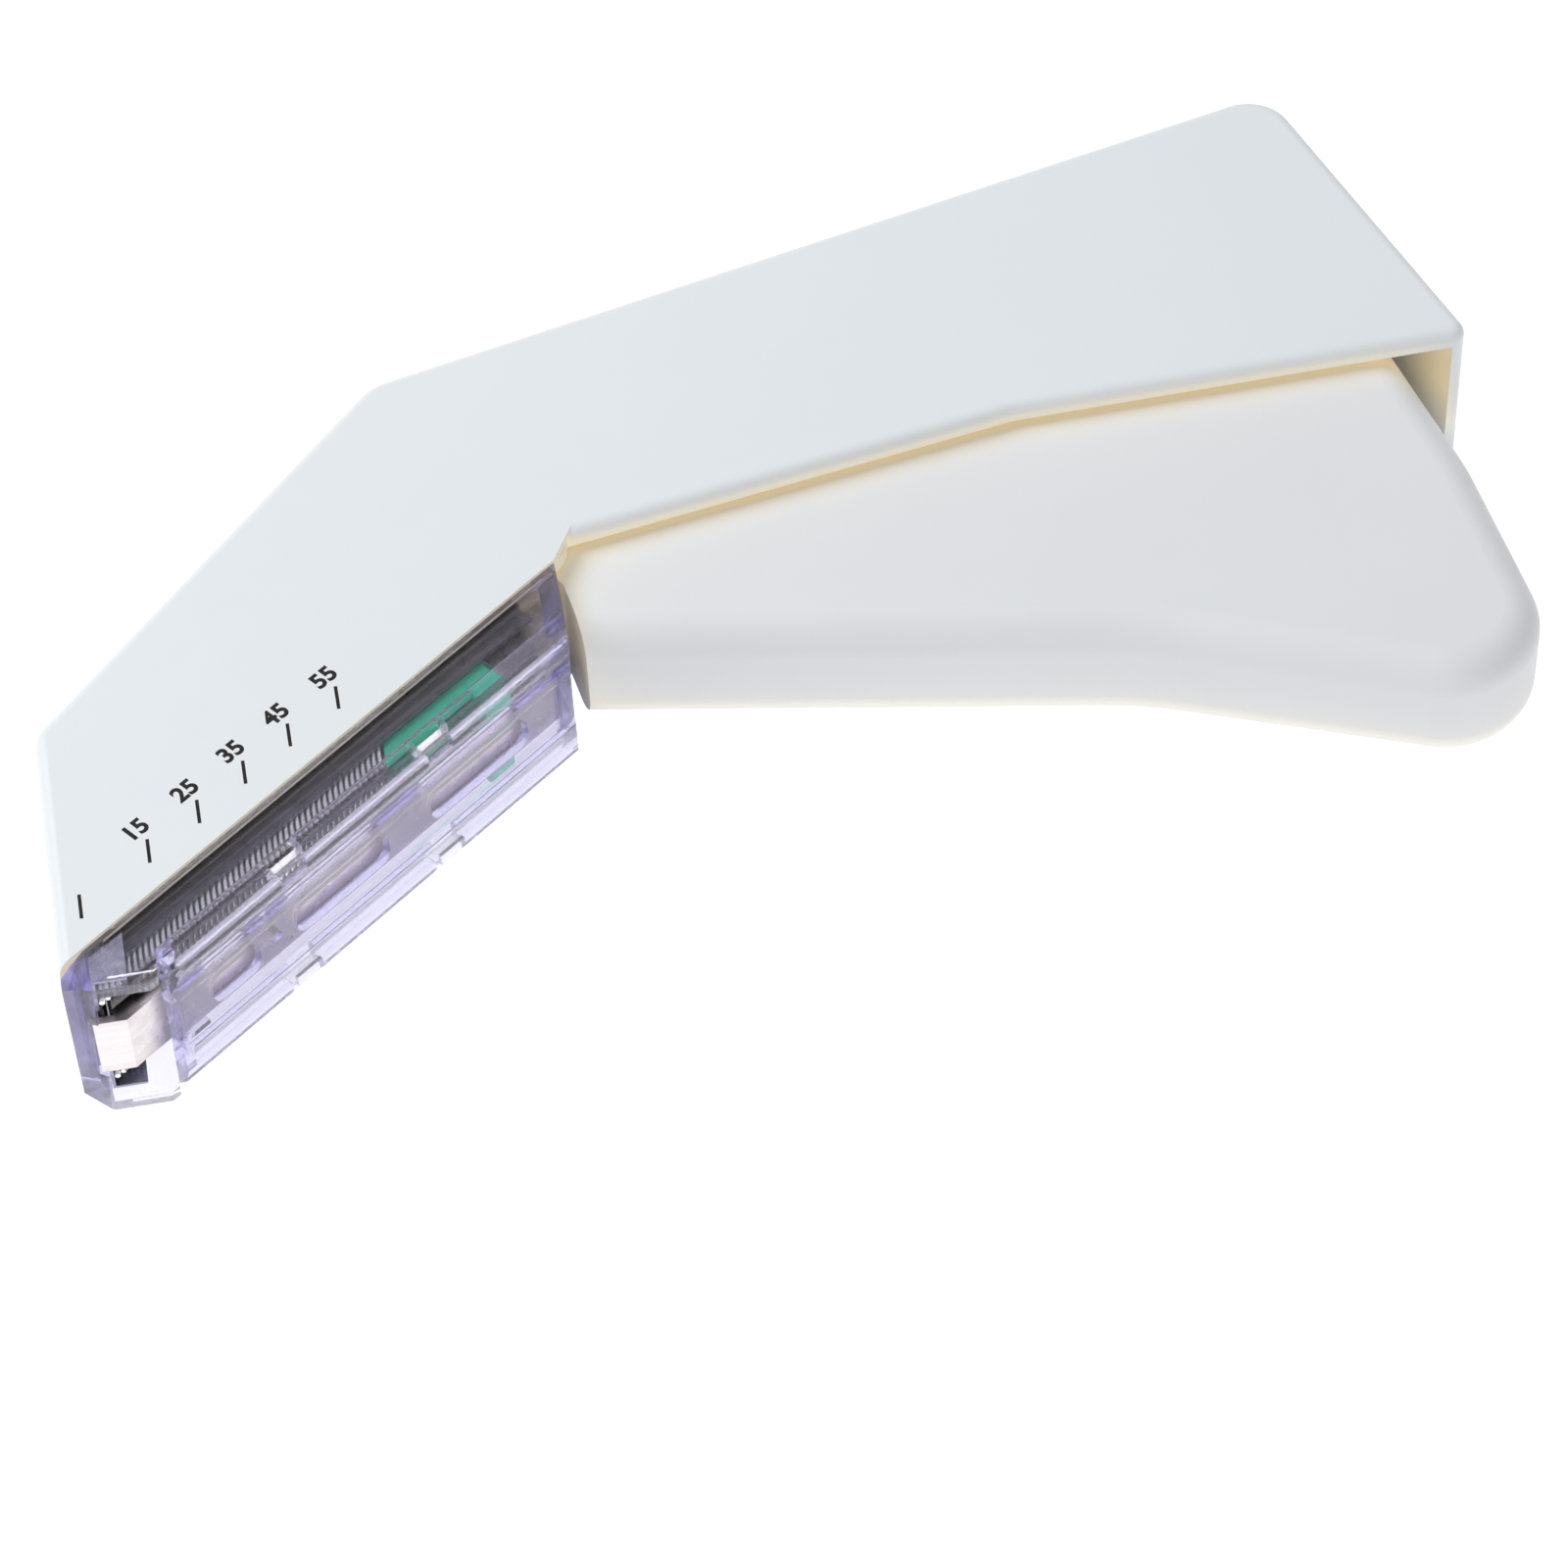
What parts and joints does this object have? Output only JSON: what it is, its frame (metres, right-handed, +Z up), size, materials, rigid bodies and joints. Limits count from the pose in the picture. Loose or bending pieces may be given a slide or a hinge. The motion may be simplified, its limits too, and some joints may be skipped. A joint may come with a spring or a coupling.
{
  "type": "skin stapler",
  "caption": "Hand-held surgical skin stapler: angled plastic grip with a squeeze lever, a driver in the head and a transparent cartridge of steel staples below it.",
  "frame": {"origin": "on the side face that the stapler rests on, at the axis of the lever's pivot", "axes": "+X from the nose towards the tail of the grip, -Y the way staples are driven, +Z up through the thickness"},
  "size_m": [0.1533, 0.0974, 0.02],
  "materials": {
    "housing_plastic": "moulded cool-white ABS, satin gloss",
    "lever_plastic": "moulded warm-white ABS, satin gloss",
    "magazine_plastic": "lilac transparent moulded polycarbonate",
    "steel": "stamped stainless",
    "dark_steel": "stamped stainless sheet",
    "anvil_steel": "pale polished stainless",
    "spring_steel": "drawn wire",
    "staple_wire": "bright drawn wire",
    "follower_plastic": "moulded green acetal"
  },
  "bodies": {
    "housing": {"housing": "housing_plastic", "lever_pivot_pin": "steel", "return_spring": "spring_steel", "cartridge_body": "magazine_plastic", "cartridge_cover": "magazine_plastic", "cartridge_end": "magazine_plastic", "staple_guide": "dark_steel", "staple_track": "steel", "anvil": "anvil_steel", "kicker_spring": "spring_steel", "nose_guide": "steel", "feed_rod": "steel", "feed_spring": "spring_steel", "staple_stack": "staple_wire"},
    "lever": {"lever": "lever_plastic", "trunnion_pin": "steel"},
    "driver": {"driver_carrier": "lever_plastic", "driver_blade": "steel"},
    "follower": {"follower": "follower_plastic"}
  },
  "joints": [
    {"name": "lever_squeeze", "type": "hinge", "parent": "housing", "child": "lever", "pos_m": [0, 0, 0.01], "axis": [0, 0, 1], "range_deg": [0, 9.5], "stiffness_Nm_per_rad": 1.5, "springref_deg": -8.59, "deforming": ["return_spring"]},
    {"name": "driver_slide", "type": "slide", "parent": "housing", "child": "driver", "axis": [0, -1, 0], "range_m": [0, 0.0072]},
    {"name": "follower_feed", "type": "slide", "parent": "housing", "child": "follower", "axis": [-0.788, -0.6157, 0], "range_m": [0, 0.0379], "deforming": ["staple_stack", "feed_spring"]}
  ],
  "couplings": [
    {"joint": "driver_slide", "follows": "lever_squeeze", "m_per_rad": 0.04324}
  ]
}
